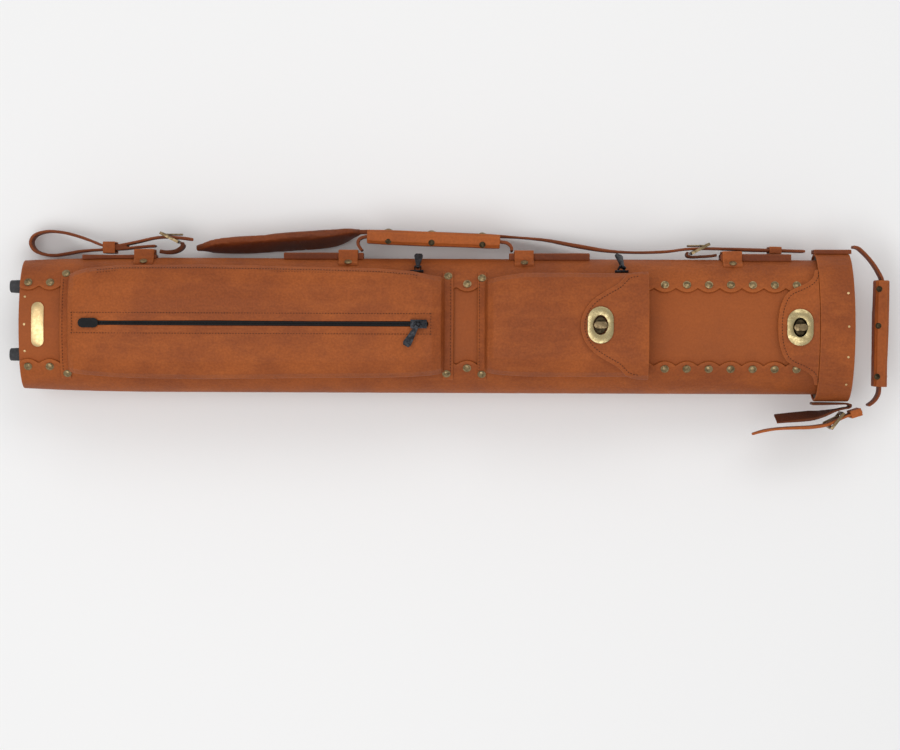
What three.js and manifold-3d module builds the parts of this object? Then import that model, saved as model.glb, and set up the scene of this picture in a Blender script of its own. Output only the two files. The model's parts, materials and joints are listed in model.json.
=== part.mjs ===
// A leather case for billiard cues, lying on its back: a rigid oval tube under two layers of leather,
// a foam insert with eight bores, a slip-off lid, two pockets, a carry handle, a shoulder strap and an
// end handle. Millimetres. +X runs along the case to the lid, +Y to the handle, +Z out of the pockets.
import * as THREE from "three";
import { mergeVertices } from "three/addons/utils/BufferGeometryUtils.js";
import Module from "manifold-3d";

const wasm = await Module();
wasm.setup();

// Driving dimensions of the tube and its layers
const baseEnd = -438;
const mouthEnd = 420;
const axisZ = 50;
const halfWidth = 71.5;
const halfDepth = 42.5;
const gap = 0.3;
const wrapDepth = [0, 2.6];
const coverDepth = [2.9, 5.1];
const shellDepth = [5.4, 7.0];
const insertDepth = 7.3;
const ovalSides = 48;
// The tube narrows a little at its base: [x, scale]
const taper = [
  [-438, 0.953],
  [-400, 0.975],
  [-360, 0.99],
  [-310, 1],
];

// Scalloped edges of the wrap
const lobePitch = 23.1;
const firstLobeX = -429;
const lobeCuspY = 41.4;
const lobeRise = 4.7;

// Bores of the insert: [y, z above the axis, radius]
const buttRadius = 15.2;
const shaftRadius = 8;
const bores = [
  [0, -9.5, buttRadius],
  [33.6, -9.5, buttRadius],
  [-33.6, -9.5, buttRadius],
  [0, 21.4, shaftRadius],
  [22, 18.3, shaftRadius],
  [-22, 18.3, shaftRadius],
  [44.2, 12.4, shaftRadius],
  [-44.2, 12.4, shaftRadius],
];
const boreFloorX = -410;

// Lid
const lidRimX = 402;
const lidEndX = 439;
const lidHalfWidth = 79;
const lidHalfDepth = 50;
const lidLeather = 2.8;
const linerWall = 3.5;

// Turn locks
const lidLockX = 381;
const flapLockX = 171;
const flapLockY = 1.6;
const openingSize = [15, 20.5];
const leatherHoleSize = [20.5, 27];
const plateSize = [27, 38.5];
const knobLength = 13.8;
const postRadius = 2.2;
const socketRadius = 2.6;

// Pockets: stations along X as [x, lower edge, upper edge, height of the face]. The upper wall, which
// holds the zip, is set back below the edge of the face.
const pocketWall = 2.4;
const largePocket = {
  stations: [
    [-385, -49, 52, 104],
    [-383, -50, 53.5, 111],
    [-377, -51.5, 56, 115.3],
    [-364, -53, 59.5, 117.2],
    [-330, -55.2, 62.6, 118],
    [-246, -56.4, 63.2, 118],
    [-125, -55.2, 61.6, 118],
    [-60, -54, 59.8, 118],
    [-24, -53, 57, 117.6],
    [-4, -51.6, 53, 116.2],
    [5.6, -50, 51.6, 112],
    [8.6, -49, 50, 104],
  ],
  wallY: 55.4,
};
const smallPocket = {
  stations: [
    [52, -47, 47, 104],
    [54, -49, 49, 111],
    [60, -50.2, 50.8, 115],
    [72, -51.4, 53, 116.6],
    [94, -52.4, 56, 117],
    [221.7, -52.4, 56, 117],
  ],
  wallY: 53.4,
};

// Half outlines of the pocket flap and of the lid's tongue, from the root to the tip: [x, y]
const flapMiddleY = 1;
const flapHalf = [
  [221.7, 56.4],
  [209, 55.6],
  [200, 53.2],
  [194.5, 48.4],
  [189, 43.2],
  [175.6, 35.5],
  [164.5, 28.2],
  [156.6, 19.5],
  [151.8, 9.5],
  [150.3, 0],
];
const tongueHalf = [
  [402, 61],
  [398.6, 60],
  [397.4, 55.5],
  [394.4, 50.4],
  [386.6, 45.3],
  [374.5, 40.1],
  [367.6, 35],
  [363.2, 28],
  [359.4, 16],
  [358, 0],
];

// Straps
const strapWidth = 20;
const strapThickness = 3;

// Leather, metal and plastic
const leather = new THREE.MeshStandardMaterial({ color: 0xa4542b, roughness: 0.62, metalness: 0 });
const darkLeather = new THREE.MeshStandardMaterial({ color: 0x7a3d22, roughness: 0.7, metalness: 0 });
const brass = new THREE.MeshStandardMaterial({ color: 0xb59a5c, roughness: 0.35, metalness: 1 });
const zipBlack = new THREE.MeshStandardMaterial({ color: 0x1c1c1e, roughness: 0.6, metalness: 0 });
const gunmetal = new THREE.MeshStandardMaterial({ color: 0x3a3d42, roughness: 0.4, metalness: 1 });
const rubber = new THREE.MeshStandardMaterial({ color: 0x2c2c2c, roughness: 0.8, metalness: 0 });
const foam = new THREE.MeshStandardMaterial({ color: 0x101010, roughness: 0.95, metalness: 0 });
const board = new THREE.MeshStandardMaterial({ color: 0x4a3a2c, roughness: 0.85, metalness: 0 });

const cueCase = new THREE.Group();

function addPart(name, geometry, material) {
  geometry.computeVertexNormals();
  const mesh = new THREE.Mesh(geometry, material);
  mesh.name = name;
  cueCase.add(mesh);
}

// Joining and cutting

function toSolid(geometry) {
  const bare = geometry.index ? geometry.toNonIndexed() : geometry.clone();
  bare.deleteAttribute("normal");
  bare.deleteAttribute("uv");
  const merged = mergeVertices(bare, 1e-4);
  return new wasm.Manifold(
    new wasm.Mesh({
      numProp: 3,
      vertProperties: merged.attributes.position.array,
      triVerts: new Uint32Array(merged.index.array),
    }),
  );
}

function fromSolid(solid) {
  const mesh = solid.getMesh();
  const geometry = new THREE.BufferGeometry();
  geometry.setAttribute("position", new THREE.BufferAttribute(mesh.vertProperties.slice(), 3));
  geometry.setIndex(new THREE.BufferAttribute(mesh.triVerts.slice(), 1));
  return geometry;
}

function cut(body, ...tools) {
  return fromSolid(tools.reduce((rest, tool) => rest.subtract(toSolid(tool)), toSolid(body)));
}

function join(body, ...others) {
  return fromSolid(others.reduce((whole, other) => whole.add(toSolid(other)), toSolid(body)));
}

function common(body, other) {
  return fromSolid(toSolid(body).intersect(toSolid(other)));
}

// Basic shapes

// A closed solid through rings of points, each ring with the same number of points.
function loft(rings) {
  const triangles = [];
  const middle = (ring) =>
    ring.reduce((sum, p) => sum.clone().add(p), new THREE.Vector3()).divideScalar(ring.length);
  const count = rings[0].length;
  for (let i = 0; i < count; i++) {
    const j = (i + 1) % count;
    for (let r = 0; r + 1 < rings.length; r++) {
      triangles.push([rings[r][i], rings[r + 1][i], rings[r + 1][j]]);
      triangles.push([rings[r][i], rings[r + 1][j], rings[r][j]]);
    }
    triangles.push([middle(rings[0]), rings[0][i], rings[0][j]]);
    triangles.push([middle(rings.at(-1)), rings.at(-1)[j], rings.at(-1)[i]]);
  }
  const volume = triangles.reduce((sum, [a, b, c]) => sum + a.dot(b.clone().cross(c)), 0);
  const outward = volume > 0 ? triangles : triangles.map(([a, b, c]) => [a, c, b]);
  return new THREE.BufferGeometry().setFromPoints(outward.flat());
}

function block(x, y, z) {
  const size = [x[1] - x[0], y[1] - y[0], z[1] - z[0]];
  const box = new THREE.BoxGeometry(...size);
  return box.translate((x[0] + x[1]) / 2, (y[0] + y[1]) / 2, (z[0] + z[1]) / 2);
}

// An outline in the XY plane, raised from one height to another.
function prism(outline, low, high, curveSegments = 12) {
  const depth = high - low;
  return new THREE.ExtrudeGeometry(outline, { depth, bevelEnabled: false, curveSegments }).translate(0, 0, low);
}

// A cylinder along X that starts at x.
function rod(x, y, z, radius, length, sides = 20) {
  const cylinder = new THREE.CylinderGeometry(radius, radius, length, sides);
  return cylinder.rotateZ(-Math.PI / 2).translate(x + length / 2, y, z);
}

function ellipse(x, y, sizeX, sizeY) {
  return new THREE.Shape().absellipse(x, y, sizeX / 2, sizeY / 2, 0, 2 * Math.PI);
}

// A slot shape with round ends, longer along Y.
function stadium(x, y, sizeX, sizeY) {
  const radius = sizeX / 2;
  const straight = sizeY / 2 - radius;
  const shape = new THREE.Shape();
  shape.absarc(x, y + straight, radius, 0, Math.PI);
  shape.absarc(x, y - straight, radius, Math.PI, 2 * Math.PI);
  return shape;
}

// An oval tube's solid through stations [x, half width, half depth].
function ovalSolid(stations) {
  return loft(
    stations.map(([x, a, b]) =>
      Array.from({ length: ovalSides }, (_, i) => {
        const angle = ((i + 0.5) / ovalSides) * 2 * Math.PI;
        return new THREE.Vector3(x, a * Math.cos(angle), axisZ + b * Math.sin(angle));
      }),
    ),
  );
}

function scaleAt(x) {
  if (x <= taper[0][0]) return taper[0][1];
  for (let i = 1; i < taper.length; i++) {
    const [x0, s0] = taper[i - 1];
    const [x1, s1] = taper[i];
    if (x <= x1) return s0 + ((s1 - s0) * (x - x0)) / (x1 - x0);
  }
  return 1;
}

// The tube's outline at a depth below the wrap's outside, from x0 to x1.
function bodyOval(depth, x0, x1) {
  const between = taper.map(([x]) => x).filter((x) => x > x0 && x < x1);
  return ovalSolid(
    [x0, ...between, x1].map((x) => {
      const scale = scaleAt(x);
      return [x, (halfWidth - depth) * scale, (halfDepth - depth) * scale];
    }),
  );
}

function bodyLayer(depths, x0, x1) {
  return cut(bodyOval(depths[0], x0, x1), bodyOval(depths[1], x0 - 1, x1 + 1));
}

// A flat strap along points, its width near Z. Width, thickness, height and tilt may change along it.
function strap(points, options = {}) {
  const { width = strapWidth, thickness = strapThickness, tilt = 0, steps = 3 * points.length } = options;
  const at = (value, t) => (typeof value === "function" ? value(t) : value);
  const curve = new THREE.CatmullRomCurve3(points.map(([x, y, z]) => new THREE.Vector3(x, y, z)));
  const rings = [];
  for (let i = 0; i <= steps; i++) {
    const t = i / steps;
    const centre = curve.getPoint(t);
    const along = curve.getTangent(t);
    const across = new THREE.Vector3(0, 0, 1).addScaledVector(along, -along.z).normalize();
    across.applyAxisAngle(along, -at(tilt, t));
    const up = across.clone().cross(along).normalize();
    const w = at(width, t) / 2;
    const h = at(thickness, t) / 2;
    const corners = [[-w, -h], [w, -h], [w, h], [-w, h]];
    rings.push(corners.map(([a, b]) => centre.clone().addScaledVector(across, a).addScaledVector(up, b)));
  }
  return loft(rings);
}

// The tube

function scallopLine(side) {
  const points = [];
  const steps = 6;
  for (let x = firstLobeX; x - lobePitch / 2 < mouthEnd + 4; x += lobePitch) {
    for (let i = 0; i < steps; i++) {
      const s = (2 * i) / steps - 1;
      points.push([x + (s * lobePitch) / 2, side * (lobeCuspY - lobeRise * (1 - s * s))]);
    }
  }
  return points;
}

function wrapWindow() {
  const outline = new THREE.Shape();
  const far = mouthEnd + 30;
  outline.moveTo(baseEnd - 20, lobeCuspY);
  scallopLine(1).forEach(([x, y]) => outline.lineTo(x, y));
  outline.lineTo(far, lobeCuspY);
  outline.lineTo(far, -lobeCuspY);
  scallopLine(-1)
    .reverse()
    .forEach(([x, y]) => outline.lineTo(x, y));
  outline.lineTo(baseEnd - 20, -lobeCuspY);
  outline.closePath();
  return prism(outline, axisZ, axisZ + 2 * halfDepth);
}

function makeTube() {
  addPart("wrap_cover", cut(bodyLayer(wrapDepth, baseEnd, mouthEnd), wrapWindow()), leather);
  addPart("base_cover", bodyLayer(coverDepth, baseEnd, mouthEnd), leather);
  addPart("hard_shell", bodyLayer(shellDepth, baseEnd, mouthEnd - 1), board);
  const plugThickness = 12;
  const plugEnd = baseEnd + plugThickness;
  addPart("base_plug", bodyOval(insertDepth, baseEnd, plugEnd), board);
  const holes = bores.map(([y, z, r]) => rod(boreFloorX, y, axisZ + z, r, mouthEnd - boreFloorX));
  const insertEnd = mouthEnd - 3;
  addPart("cue_insert", cut(bodyOval(insertDepth, plugEnd + gap, insertEnd), ...holes), foam);
}

function makeFeet() {
  const profile = [
    [0, 4],
    [2.2, 4],
    [2.2, 13],
    [5.6, 13],
    [6.6, 12],
    [7, 0],
    [0, 0],
  ].map(([r, h]) => new THREE.Vector2(r, h));
  const places = [
    [40, 12],
    [-32, 12],
    [40, -12],
    [-32, -12],
  ];
  places.forEach(([y, z], i) => {
    const foot = new THREE.LatheGeometry(profile.reverse(), 20).rotateZ(Math.PI / 2);
    profile.reverse();
    addPart("rubber_foot_" + (i + 1), foot.translate(baseEnd - gap, y, axisZ + z), rubber);
  });
}

function makeNamePlate() {
  const outline = prism(stadium(-418, 0, 13, 47), axisZ, axisZ + 60);
  addPart("name_plate", common(bodyLayer([1.2, 2.6], -430, -405), outline), brass);
}

// The pockets

function pocketSolid(pocket, inset) {
  const last = pocket.stations.length - 1;
  return loft(
    pocket.stations.map(([x, lower, upper, top], i) => {
      const station = i === 0 ? x + inset : i === last ? x - inset : x;
      const high = upper - inset;
      const low = lower + inset;
      const wall = Math.min(pocket.wallY, upper) - inset;
      const z = top - inset;
      const bend = Math.min(93, z - 20);
      const ring = [
        [wall, 45],
        [wall, bend],
        [high, z - 16],
        [high - 5, z - 9],
        [high - 18, z - 3.2],
        [high - 36, z - 0.4],
        [low + 36, z - 0.4],
        [low + 18, z - 3.2],
        [low + 5, z - 9],
        [low, z - 16],
        [low + 0.6, bend],
        [low + 1, 45],
      ];
      return ring.map(([y, height]) => new THREE.Vector3(station, y, height));
    }),
  );
}

function pocketFlange(x0, x1) {
  const band = bodyLayer([-2.5, -gap], x0 - 1, x1 + 1);
  return common(band, block([x0, x1], [-57, 57], [axisZ, 130]));
}

// A zip's tape inside the upper wall of a pocket.
function wallTape(pocket, x0, x1, z0, z1) {
  const skin = cut(pocketSolid(pocket, pocketWall + gap), pocketSolid(pocket, pocketWall + gap + 1.2));
  return common(skin, block([x0, x1], [40, 70], [z0, z1]));
}

function makeLargePocket() {
  const inside = pocketSolid(largePocket, pocketWall);
  const tube = bodyOval(-gap, -440, 60);
  const faceSlot = block([-371, -8], [-0.6, 4.4], [105, 130]);
  const topSlot = block([-362, -15], [45, 75], [83, 88]);
  const flanges = [pocketFlange(-394.4, -383.5), pocketFlange(7.2, 18.9)];
  const walls = cut(pocketSolid(largePocket, 0), inside, tube, faceSlot, topSlot);
  addPart("large_pocket", join(walls, ...flanges), leather);
  const tape = block([-373, -6], [-8, 11.8], [111.8, 112.8]);
  const teeth = block([-370.7, -8.3], [-0.3, 4.1], [112.8, 116]);
  const endStop = prism(stadium(0, 0, 10, 21), 112.8, 120.3).rotateZ(Math.PI / 2).translate(-360.3, 1.9, 0);
  const stopStem = common(endStop, block([-370.7, -350], [-0.3, 4.1], [112, 120.3]));
  const stopPad = common(endStop, block([-375, -345], [-5, 9], [118.4, 121]));
  addPart("face_zip", join(tape, teeth, stopStem, stopPad), zipBlack);
  addPart("large_top_zip", wallTape(largePocket, -366, -11, 80.5, 91), zipBlack);
}

function makeSmallPocket() {
  const inside = pocketSolid(smallPocket, pocketWall);
  const tube = bodyOval(-gap, 0, 300);
  const mouth = block([205, 219.3], [-44, 47], [100, 130]);
  const topSlot = block([80, 204], [45, 75], [84.5, 89.5]);
  const walls = cut(pocketSolid(smallPocket, 0), inside, tube, mouth, topSlot);
  addPart("small_pocket", join(walls, pocketFlange(43.9, 53.5)), leather);
  addPart("small_top_zip", wallTape(smallPocket, 76, 208, 82, 92), zipBlack);
}

// A symmetric outline from its upper half.
function flapOutline(half, middleY) {
  const upper = half.map(([x, y]) => new THREE.Vector2(x, middleY + y));
  const lower = half.slice(0, -1).map(([x, y]) => new THREE.Vector2(x, middleY - y));
  const curve = new THREE.SplineCurve([...upper, ...lower.reverse()]);
  return new THREE.Shape(curve.getPoints(44));
}

function makePocketFlap() {
  const skin = cut(pocketSolid(smallPocket, -3.2), pocketSolid(smallPocket, -0.5));
  const sheet = common(skin, prism(flapOutline(flapHalf, flapMiddleY), 101, 130));
  const opening = prism(ellipse(flapLockX, flapLockY, ...leatherHoleSize), 100, 130);
  addPart("pocket_flap", cut(sheet, opening), leather);
}

// The lid

function lidOval(inset, x0, x1) {
  const a = lidHalfWidth - inset;
  const b = lidHalfDepth - inset;
  return ovalSolid([
    [x0, a, b],
    [x1, a, b],
  ]);
}

function makeLid() {
  const leatherInside = lidOval(lidLeather, lidRimX - 2, lidEndX - lidLeather);
  addPart("lid_cap", cut(lidOval(0, lidRimX + gap, lidEndX), leatherInside), leather);
  const linerInset = lidLeather + gap;
  const linerEnd = lidEndX - lidLeather - gap;
  const linerInside = lidOval(linerInset + linerWall, lidRimX, linerEnd - 3);
  addPart("lid_liner", cut(lidOval(linerInset, lidRimX + 2, linerEnd), linerInside), board);
}

// The tongue narrows from the lid's size down to the tube's.
function tongueOval(inset) {
  return ovalSolid([
    [350, 75.4 - inset, 46.4 - inset],
    [lidRimX, lidHalfWidth - inset, lidHalfDepth - inset],
  ]);
}

function makeTongue() {
  const skin = cut(tongueOval(0), tongueOval(lidLeather));
  const sheet = common(skin, prism(flapOutline(tongueHalf, 0), axisZ, axisZ + 60));
  const opening = prism(ellipse(lidLockX, 0, ...leatherHoleSize), 80, 120);
  addPart("lid_tongue", cut(sheet, opening), leather);
}

// A turn lock: a base with a socket, an eyelet plate on the leather and a knob whose post turns in the base.
function makeLock(prefix, [x, y], baseLow, plateLow, foot, plateSkin) {
  const riserTop = plateLow + 1.2;
  const pad = prism(ellipse(x, y, ...foot.size), baseLow, baseLow + foot.thickness);
  const riser = prism(stadium(x, y, 10, 16), baseLow, riserTop);
  const floor = Math.max(baseLow + 0.8, riserTop - 6);
  const socket = prism(ellipse(x, y, 2 * socketRadius, 2 * socketRadius), floor, riserTop + 1);
  addPart(prefix + "_lock_base", cut(join(pad, riser), socket), brass);
  const ring = stadium(x, y, ...plateSize);
  ring.holes.push(new THREE.Path().absellipse(x, y, openingSize[0] / 2, openingSize[1] / 2, 0, 2 * Math.PI));
  addPart(prefix + "_lock_plate", common(plateSkin, prism(ring, 80, 140)), brass);
  const barLow = plateLow + 2.8;
  const post = prism(ellipse(x, y, 2 * postRadius, 2 * postRadius), floor + gap, barLow + 1);
  const bar = prism(stadium(0, 0, 7, knobLength), barLow, barLow + 3.8).rotateZ(Math.PI / 2).translate(x, y, 0);
  addPart(prefix + "_lock_knob", join(post, bar), brass);
}

// Zip sliders and pulls

// A slider with a crossbar, and a pull that hangs on the bar. Both are built flat at the origin,
// with the pull along +X and the bar along Y, and then put in place.
function makeZipPull(name, body, place, pullLength) {
  const barZ = 2.2;
  const lugs = [-1, 1].map((side) => {
    const lug = new THREE.BoxGeometry(2.6, 1.2, 6.4);
    return lug.translate(0, side * 3.1, barZ - 2.2);
  });
  const bar = new THREE.CylinderGeometry(0.8, 0.8, 7, 10).translate(0, 0, barZ);
  const fitting = join(lugs[0], lugs[1], bar).applyMatrix4(place);
  addPart(name + "_slider", join(body, fitting), gunmetal);
  const outline = new THREE.Shape();
  outline.moveTo(-1.9, -1.6);
  outline.lineTo(4, -2.2);
  outline.lineTo(pullLength - 3, -4.6);
  outline.lineTo(pullLength, -3);
  outline.lineTo(pullLength, 3);
  outline.lineTo(pullLength - 3, 4.6);
  outline.lineTo(4, 2.2);
  outline.lineTo(-1.9, 1.6);
  outline.closePath();
  const eye = new THREE.CylinderGeometry(1.2, 1.2, 8, 12).translate(0, 0, barZ);
  const plate = cut(join(prism(outline, barZ - 1, barZ + 1), hub(barZ)), eye);
  addPart(name + "_pull", plate.applyMatrix4(place), gunmetal);
}

function hub(height) {
  return new THREE.CylinderGeometry(2.1, 2.1, 3.4, 12).translate(0, 0, height);
}

function placement(origin, along, normal) {
  const x = new THREE.Vector3(...along).normalize();
  const z = new THREE.Vector3(...normal).normalize();
  const y = new THREE.Vector3().crossVectors(z, x).normalize();
  const upright = new THREE.Vector3().crossVectors(x, y);
  return new THREE.Matrix4().makeBasis(x, y, upright).setPosition(...origin);
}

function makeZipPulls() {
  const faceBody = block([-26, -9], [-2.6, 6.4], [118.4, 121.4]);
  const facePlace = placement([-18, 1.9, 122.2], [-13, -23, -3.6], [0, 0, 1]);
  makeZipPull("face_zip", faceBody, facePlace, 26);
  const largeBody = block([-27, -13], [55.8, 58.6], [81, 90]);
  const largePlace = placement([-19, 60.3, 85.5], [0.03, 0.62, -0.78], [0, 0.78, 0.62]);
  makeZipPull("large_top", largeBody, largePlace, 22);
  const smallBody = block([188, 202], [56.4, 59.2], [82.5, 91.5]);
  const smallPlace = placement([195, 60.8, 87], [-0.16, 0.62, -0.76], [0.42, 0.72, 0.55]);
  makeZipPull("small_top", smallBody, smallPlace, 22);
}

// The carry handle and its anchors

const anchors = [
  { strip: [-376, -297.4], saddle: [-320.5, -299.2], top: 74.5 },
  { strip: [-162, -77], saddle: [-103.7, -83], top: 77.5 },
  { strip: [77.5, 163], saddle: [83, 103.5], top: 77.5 },
  { strip: [302, 377], saddle: [303.5, 324.5], top: 77.5 },
];

function makeAnchors() {
  const saddleTop = 80.5;
  anchors.forEach(({ strip, saddle, top }, i) => {
    const tube = bodyOval(-gap, strip[0] - 10, strip[1] + 10);
    addPart("anchor_strip_" + (i + 1), cut(block(strip, [60, top], [40, 60]), tube), leather);
    const skirt = bodyLayer([-2.8, -gap], saddle[0] - 1, saddle[1] + 1);
    const wings = common(skirt, block(saddle, [40, 80], [axisZ - 20, axisZ + 20]));
    const bridge = block(saddle, [68, saddleTop], [axisZ - 13.6, axisZ + 13.6]);
    const under = block([saddle[0] - 1, saddle[1] + 1], [60, top + gap], [40 - gap, 60 + gap]);
    addPart("saddle_" + (i + 1), cut(join(wings, bridge), tube, under), leather);
  });
}

// A padded grip around a strap, from one point to another.
function grip(from, to, width, thickness) {
  const steps = 6;
  const outer = strap([from, to], { width, thickness: thickness - 5, steps });
  const middle = strap([from, to], { width: width - 5, thickness, steps });
  const along = new THREE.Vector3(...to).sub(new THREE.Vector3(...from)).normalize();
  const before = new THREE.Vector3(...from).addScaledVector(along, -5).toArray();
  const after = new THREE.Vector3(...to).addScaledVector(along, 5).toArray();
  const channel = strap([before, after], { width: 18.8, thickness: 4.2, steps: 1 });
  return cut(join(outer, middle), channel);
}

function makeCarryHandle() {
  addPart("handle_grip", grip([-74, 95, 47], [68, 89.8, 47], 26, 15), leather);
  const route = [
    [-78.8, 79.6, 49.5],
    [-81, 82.4, 49.3],
    [-83.4, 87.4, 48.8],
    [-82, 92, 48.2],
    [-74, 95, 47],
    [-66, 94.7, 47],
    [-40, 93.75, 47],
    [0, 92.3, 47],
    [40, 90.8, 47],
    [60, 90.1, 47],
    [68, 89.8, 47],
    [75.5, 88.4, 48],
    [79.6, 84.6, 49],
    [80.6, 79.6, 49.5],
  ];
  addPart("handle_strap", strap(route, { width: 18, thickness: 3.4, steps: 40 }), leather);
}

// The shoulder strap

const leftStrapRoute = [
  [-262, 91.5, 33],
  [-274, 93, 36],
  [-296, 93.5, 36],
  [-322, 88.2, 36],
  [-342, 84.6, 34],
  [-357, 84.9, 32],
  [-370, 89.5, 26],
  [-388, 95.6, 18],
  [-406, 99.6, 13],
  [-422, 100.2, 11.5],
  [-434.5, 95.6, 11.5],
  [-438, 88, 11.5],
  [-434, 80, 11.5],
  [-424, 75.6, 11.5],
  [-411, 74.6, 12],
  [-397, 76.4, 15],
  [-380, 79, 22],
  [-357, 80.3, 31],
  [-341, 80.7, 34],
  [-317, 83.2, 36],
  [-300, 84.4, 36],
];

const rightStrapRoute = [
  [-81, 101.3, 14],
  [-40, 100.6, 13],
  [0, 99.8, 13],
  [40, 98.4, 13],
  [70, 96.9, 13],
  [115, 93.2, 16],
  [151, 86.7, 21],
  [184, 81.2, 27],
  [219, 79.4, 32],
  [248, 80.6, 36],
  [268, 83.2, 37],
  [297, 83.8, 37],
  [342, 82.4, 36],
  [368, 82, 36],
  [394, 81.2, 36],
];

const padRoute = [
  [-258, 82.5, 26],
  [-240, 84.5, 25],
  [-200, 87, 24],
  [-150, 90.5, 24],
  [-112, 93.6, 22],
  [-92, 98.4, 17],
  [-83, 101, 14.2],
];

// The pad swells quickly from its tip and narrows to the strap at its other end.
function padWidth(t) {
  return 4 + 40 * Math.sin(Math.PI * Math.min(0.5, 2.4 * t)) - 24 * THREE.MathUtils.smoothstep(t, 0.72, 1);
}

function keeper(centre, angle, inside, wall, width) {
  const outer = new THREE.BoxGeometry(width, inside[0] + 2 * wall, inside[1] + 2 * wall);
  const hole = new THREE.BoxGeometry(width + 2, inside[0], inside[1]);
  return cut(outer, hole).rotateZ(angle).translate(...centre);
}

// A buckle frame that a strap threads through: one bar above it and one below.
function makeBuckle(name, centre, angle, reverse = 1) {
  const size = [22, 29];
  const wire = 3;
  const outline = new THREE.Shape();
  outline.moveTo(-size[0] / 2, -size[1] / 2);
  outline.lineTo(size[0] / 2, -size[1] / 2);
  outline.lineTo(size[0] / 2, size[1] / 2);
  outline.lineTo(-size[0] / 2, size[1] / 2);
  const inner = new THREE.Path();
  inner.moveTo(-size[0] / 2 + wire, -size[1] / 2 + wire);
  inner.lineTo(size[0] / 2 - wire, -size[1] / 2 + wire);
  inner.lineTo(size[0] / 2 - wire, size[1] / 2 - wire);
  inner.lineTo(-size[0] / 2 + wire, size[1] / 2 - wire);
  outline.holes.push(inner);
  const tip = (reverse * 27 * Math.PI) / 180;
  const frame = prism(outline, -wire / 2, wire / 2).rotateX(Math.PI / 2).rotateZ(angle - tip);
  addPart(name, frame.translate(...centre), brass);
  const prongLength = 19;
  const prong = new THREE.CylinderGeometry(1.1, 1.1, prongLength, 8).rotateZ(Math.PI / 2);
  prong.translate(reverse * (prongLength / 2 - 5.4), 3.4, 0).rotateZ(angle);
  addPart(name + "_prong", prong.translate(...centre), brass);
}

function makeShoulderStrap() {
  addPart("strap_left", strap(leftStrapRoute, { steps: 76 }), leather);
  addPart("strap_right", strap(rightStrapRoute, { steps: 48 }), leather);
  const padTilt = (t) => 0.3 * Math.sin(Math.PI * Math.min(1, t));
  const pad = strap(padRoute, { width: padWidth, thickness: 6, tilt: padTilt, steps: 26 });
  const strapEnd = strap(rightStrapRoute, { width: strapWidth + 1, thickness: strapThickness + 0.8, steps: 48 });
  addPart("shoulder_pad", cut(pad, strapEnd), darkLeather);
  addPart("keeper_left", keeper([-349.5, 82.5, 32.6], 0, [9, 24.6], 1.8, 13), leather);
  addPart("keeper_right", keeper([362, 82.1, 36], -0.02, [4.2, 21], 1.8, 13), leather);
  makeBuckle("buckle_left", [-285, 93.3, 36], 0);
  makeBuckle("buckle_right", [282, 83.5, 37], 0.02, -1);
  const leftLoop = [
    [-295.4, 78.4, 44],
    [-287, 77.4, 43],
    [-279, 78.4, 41],
    [-273.6, 81.2, 39.5],
    [-271, 84.6, 38.4],
    [-271, 87, 38],
  ];
  addPart("strap_loop_left", strap(leftLoop, { width: 18, thickness: 4 }), darkLeather);
  const rightLoop = [
    [299.6, 76.8, 43.6],
    [292, 75.6, 43],
    [282, 75, 40.5],
    [272, 74.8, 38.5],
    [268.4, 76.4, 37.6],
    [268, 79.2, 37.2],
  ];
  addPart("strap_loop_right", strap(rightLoop, { width: 18, thickness: 3 }), darkLeather);
}

// The end handle, its strap and the buckle that takes it up

function makeEndHandle() {
  const lidSurface = lidOval(-gap, lidRimX - 20, lidEndX + 20);
  const topAnchor = block([401, 441], [70, lidHalfWidth + gap + 3.4], [40, 60]);
  addPart("end_anchor_top", cut(topAnchor, lidSurface), leather);
  addPart("end_grip", grip([474.6, 50.6, 50], [472.2, -63.2, 50], 24, 15), leather);
  const strapRoute = [
    [443.4, 85.8, 50],
    [448.5, 84.8, 50],
    [456, 78.5, 50],
    [464.5, 68.8, 50],
    [471, 58.6, 50],
    [474.6, 50.6, 50],
    [474.4, 42, 50],
    [473.8, 14, 50],
    [473.2, -16, 50],
    [472.4, -54, 50],
    [472.2, -63.2, 50],
    [471.2, -71, 50],
    [466.6, -78.2, 50],
    [460, -83.2, 50],
  ];
  addPart("end_strap", strap(strapRoute, { width: 18, thickness: 3, steps: 44 }), leather);
  const tailRoute = [
    [453.4, -89, 50],
    [446.5, -91, 50],
    [436, -94.6, 50],
    [426, -99.2, 50],
    [416, -103.6, 50],
    [400, -106.2, 50],
    [380, -107.2, 50],
    [362, -108.4, 50],
    [349, -110.6, 50],
    [337, -114, 50],
  ];
  const tailWidth = (t) => strapWidth - 12 * THREE.MathUtils.smoothstep(t, 0.85, 1);
  addPart("end_tail_strap", strap(tailRoute, { width: tailWidth }), leather);
  addPart("end_keeper", keeper([446.6, -91, 50], 0.3, [4.4, 21], 1.8, 12), leather);
  makeBuckle("end_buckle", [426.5, -99, 50], 0.44, -1);
  const billetRoute = [
    [400, -81.1, 50],
    [420, -81.1, 50],
    [437, -81.2, 50],
    [441.5, -82, 50],
    [440.6, -84.8, 50],
    [434, -86.2, 50],
    [424, -88.6, 50],
    [410, -92.4, 50],
    [394, -94.6, 50],
    [378, -96.2, 50],
    [362, -97.8, 50],
  ];
  const billetTilt = (t) => 0.42 * THREE.MathUtils.smoothstep(t, 0.55, 0.8);
  const billet = strap(billetRoute, { thickness: 2.4, tilt: billetTilt, steps: 40 });
  addPart("end_billet", cut(billet, lidOval(-gap, lidRimX - 40, lidEndX)), darkLeather);
}

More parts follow.
